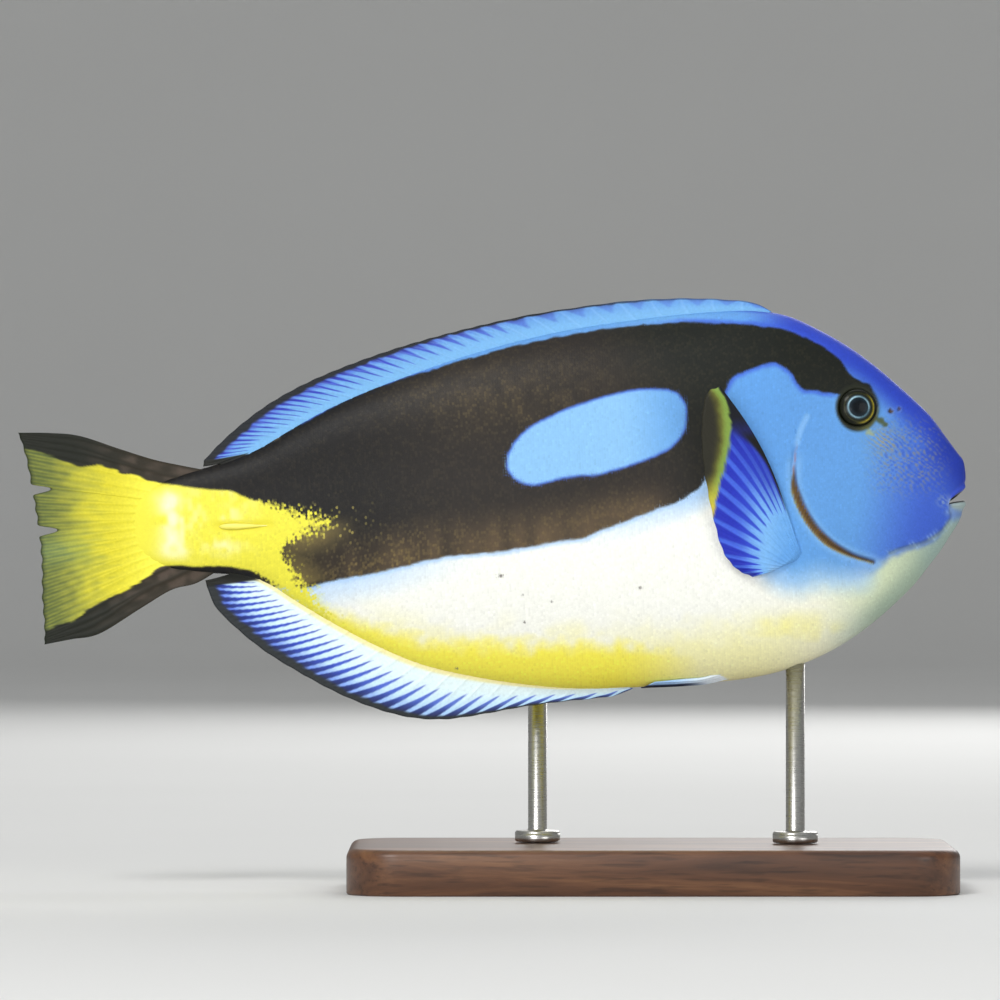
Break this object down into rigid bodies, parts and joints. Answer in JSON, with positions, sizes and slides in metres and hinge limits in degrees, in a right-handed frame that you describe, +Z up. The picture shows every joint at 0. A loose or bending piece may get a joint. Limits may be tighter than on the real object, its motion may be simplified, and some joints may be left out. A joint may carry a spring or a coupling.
{
  "type": "regal blue tang",
  "caption": "Life-size regal blue tang swimming level, with rayed fins, folded tail spines, mouth and gill slits, held over a flat base by slim rods.",
  "frame": {"origin": "centre of the footprint of the whole model's box, on the underside of the base", "axes": "+X towards the snout, +Y towards the fish's left side, +Z up"},
  "size_m": [0.2504, 0.084, 0.156],
  "materials": {
    "head_skin": "wet scaled skin, blue, satin",
    "trunk_skin": "wet scaled skin, dark band, white and yellow belly, satin",
    "stalk_skin": "wet scaled skin, yellow and brown, satin",
    "tail_fin_membrane": "rayed membrane, yellow with dark edges",
    "blue_fin_membrane": "rayed membrane, pale blue with deep blue streaks",
    "pale_fin_membrane": "rayed membrane, white to blue",
    "pectoral_membrane": "rayed membrane, blue with a yellow-green border",
    "eye": "wet, glossy",
    "spine": "smooth bone",
    "stand_wood": "oiled walnut",
    "stand_steel": "brushed"
  },
  "bodies": {
    "root": {"head": "head_skin", "trunk": "trunk_skin", "tail_stalk": "stalk_skin", "caudal_fin": "tail_fin_membrane", "dorsal_fin": "blue_fin_membrane", "anal_fin": "pale_fin_membrane", "pectoral_fin_right": "pectoral_membrane", "pectoral_fin_left": "pectoral_membrane", "pelvic_fin_right": "pale_fin_membrane", "pelvic_fin_left": "pale_fin_membrane", "eye_right": "eye", "eye_left": "eye", "tail_spine_right": "spine", "tail_spine_left": "spine", "stand_base": "stand_wood", "stand_rod_front": "stand_steel", "stand_rod_rear": "stand_steel"}
  },
  "joints": []
}
